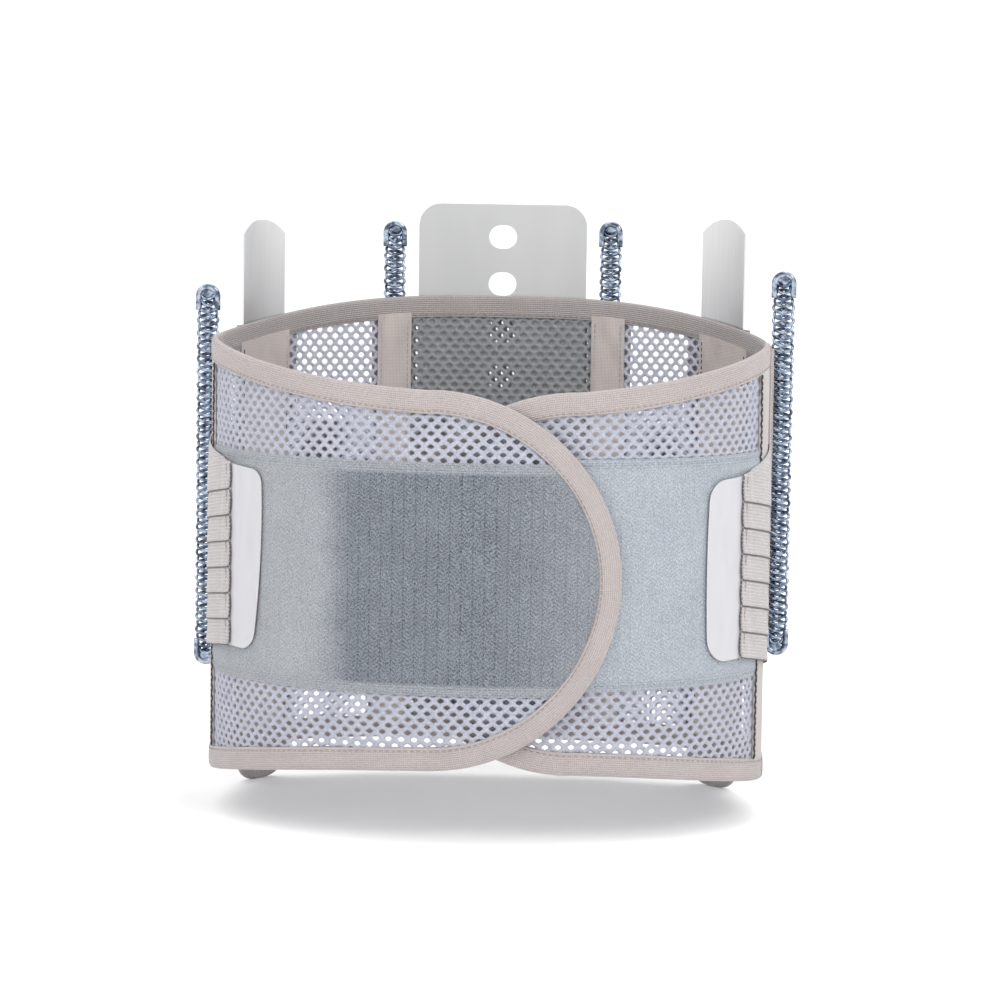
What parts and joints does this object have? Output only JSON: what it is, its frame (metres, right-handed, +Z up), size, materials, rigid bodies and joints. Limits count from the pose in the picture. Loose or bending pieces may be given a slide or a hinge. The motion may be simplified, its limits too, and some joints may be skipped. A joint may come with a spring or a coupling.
{
  "type": "back brace",
  "caption": "Lumbar back brace closed round the waist, with hook-and-loop front, side pull straps and removable steel and plastic stays part drawn.",
  "frame": {"origin": "centre of the whole brace's box in X and Y, at the height of its lowest point, the round ends of the flat sleeves", "axes": "+Z up along the spine, +Y to the wearer's back, so the closure faces -Y, +X to the right as seen from the front"},
  "size_m": [0.3212, 0.2195, 0.318],
  "materials": {
    "mesh_fabric": "open hexagonal spacer mesh, matt",
    "loop_fabric": "brushed loop fabric with a herringbone knit",
    "binding_tape": "ribbed woven tape, stitched",
    "sleeve_fabric": "plain woven sleeve cloth",
    "elastic": "ribbed woven elastic",
    "tab_backing": "smooth satin backing",
    "hook_tape": "fine moulded hooks",
    "plate_plastic": "translucent satin polyethylene",
    "spring_steel": "brushed spring steel",
    "zinc_wire": "bright bluish zinc-plated wire",
    "cap_metal": "bright crimped metal tip"
  },
  "bodies": {
    "back": {"back_centre_mesh": "mesh_fabric", "left_back_mesh": "mesh_fabric", "right_back_mesh": "mesh_fabric", "back_top_binding": "binding_tape", "back_bottom_binding": "binding_tape", "plate_pocket": "sleeve_fabric", "left_spiral_sleeve": "sleeve_fabric", "right_spiral_sleeve": "sleeve_fabric", "left_flat_sleeve": "sleeve_fabric", "right_flat_sleeve": "sleeve_fabric", "left_side_channel": "sleeve_fabric", "right_side_channel": "sleeve_fabric", "left_rear_bands": "elastic", "right_rear_bands": "elastic", "left_strap_anchor": "binding_tape", "right_strap_anchor": "binding_tape"},
    "back_plate": {"support_plate": "plate_plastic"},
    "left_flap": {"left_front_mesh": "mesh_fabric", "left_loop_band": "loop_fabric", "left_front_binding": "binding_tape", "left_seam_tape": "binding_tape", "left_strap_root": "elastic", "hook_patch": "hook_tape"},
    "left_strap": {"left_strap_band_1": "elastic", "left_strap_band_2": "elastic", "left_strap_band_3": "elastic", "left_strap_band_4": "elastic", "left_strap_band_5": "elastic", "left_strap_band_6": "elastic", "left_strap_band_7": "elastic", "left_hook_tab": "tab_backing", "left_hook_pad": "hook_tape"},
    "left_back_spiral": {"left_back_coil": "zinc_wire", "left_back_caps": "cap_metal"},
    "left_side_spiral": {"left_side_coil": "zinc_wire", "left_side_caps": "cap_metal"},
    "left_flat": {"left_flat_stay": "spring_steel"},
    "right_flap": {"right_front_mesh": "mesh_fabric", "right_loop_band": "loop_fabric", "right_front_binding": "binding_tape", "right_seam_tape": "binding_tape", "right_strap_root": "elastic"},
    "right_strap": {"right_strap_band_1": "elastic", "right_strap_band_2": "elastic", "right_strap_band_3": "elastic", "right_strap_band_4": "elastic", "right_strap_band_5": "elastic", "right_strap_band_6": "elastic", "right_strap_band_7": "elastic", "right_hook_tab": "tab_backing", "right_hook_pad": "hook_tape"},
    "right_back_spiral": {"right_back_coil": "zinc_wire", "right_back_caps": "cap_metal"},
    "right_side_spiral": {"right_side_coil": "zinc_wire", "right_side_caps": "cap_metal"},
    "right_flat": {"right_flat_stay": "spring_steel"}
  },
  "joints": [
    {"name": "left_flap_swing", "type": "hinge", "parent": "back", "child": "left_flap", "pos_m": [-0.1488, 0.0044, 0.135], "axis": [0, 0, -1], "range_deg": [0, 100]},
    {"name": "left_strap_peel", "type": "hinge", "parent": "left_flap", "child": "left_strap", "pos_m": [-0.14833, -0.0075, 0.141], "axis": [0, 0, -1], "range_deg": [0, 60]},
    {"name": "right_flap_swing", "type": "hinge", "parent": "back", "child": "right_flap", "pos_m": [0.1488, 0.0044, 0.135], "axis": [0, 0, 1], "range_deg": [0, 45]},
    {"name": "right_strap_peel", "type": "hinge", "parent": "right_flap", "child": "right_strap", "pos_m": [0.14827, -0.00755, 0.141], "axis": [0, 0, 1], "range_deg": [0, 60]},
    {"name": "plate_slide", "type": "slide", "parent": "back", "child": "back_plate", "axis": [0, 0, 1], "range_m": [-0.07, 0.1]},
    {"name": "left_back_spiral_slide", "type": "slide", "parent": "back", "child": "left_back_spiral", "axis": [0, 0, 1], "range_m": [-0.078, 0.09]},
    {"name": "left_side_spiral_slide", "type": "slide", "parent": "back", "child": "left_side_spiral", "axis": [0, 0, 1], "range_m": [-0.045, 0.09]},
    {"name": "left_flat_stay_slide", "type": "slide", "parent": "back", "child": "left_flat", "axis": [0, 0, 1], "range_m": [-0.065, 0.09]},
    {"name": "right_back_spiral_slide", "type": "slide", "parent": "back", "child": "right_back_spiral", "axis": [0, 0, 1], "range_m": [-0.078, 0.09]},
    {"name": "right_side_spiral_slide", "type": "slide", "parent": "back", "child": "right_side_spiral", "axis": [0, 0, 1], "range_m": [-0.045, 0.09]},
    {"name": "right_flat_stay_slide", "type": "slide", "parent": "back", "child": "right_flat", "axis": [0, 0, 1], "range_m": [-0.065, 0.09]}
  ],
  "couplings": [
    {"joint": "right_flap_swing", "follows": "left_flap_swing", "ratio": 0.45}
  ]
}
